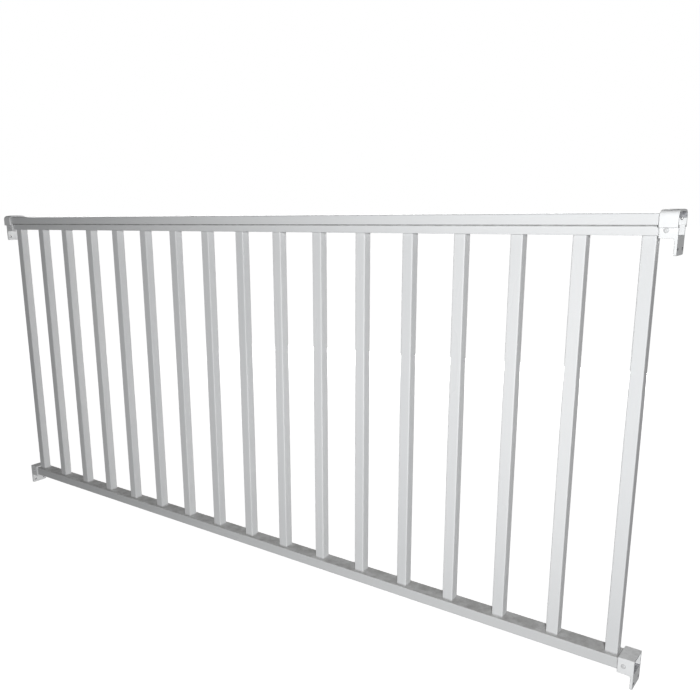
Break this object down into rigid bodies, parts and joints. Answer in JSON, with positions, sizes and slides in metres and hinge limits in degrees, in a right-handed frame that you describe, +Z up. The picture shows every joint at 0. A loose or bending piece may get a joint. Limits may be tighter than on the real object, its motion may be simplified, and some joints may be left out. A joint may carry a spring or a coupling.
{
  "type": "deck railing section",
  "caption": "White aluminium railing panel with square pickets between a plain bottom rail and an arched two-part top rail, held at its four ends by cast post brackets.",
  "frame": {"origin": "on the flat post side of the lower left bracket's tab, midway between its two holes", "axes": "+X along the rails from the left post to the right one, +Y away from the viewer, +Z up"},
  "size_m": [2.0808, 0.0638, 0.9438],
  "materials": {
    "rail_coat": "satin",
    "picket_coat": "satin",
    "bracket_coat": "satin"
  },
  "bodies": {
    "root": {"bottom_rail": "rail_coat", "top_rail_channel": "rail_coat", "top_rail_cap": "rail_coat", "picket_01": "picket_coat", "picket_02": "picket_coat", "picket_03": "picket_coat", "picket_04": "picket_coat", "picket_05": "picket_coat", "picket_06": "picket_coat", "picket_07": "picket_coat", "picket_08": "picket_coat", "picket_09": "picket_coat", "picket_10": "picket_coat", "picket_11": "picket_coat", "picket_12": "picket_coat", "picket_13": "picket_coat", "picket_14": "picket_coat", "picket_15": "picket_coat", "picket_16": "picket_coat", "picket_17": "picket_coat", "bracket_top_left": "bracket_coat", "bracket_bottom_left": "bracket_coat", "bracket_top_right": "bracket_coat", "bracket_bottom_right": "bracket_coat"}
  },
  "joints": []
}
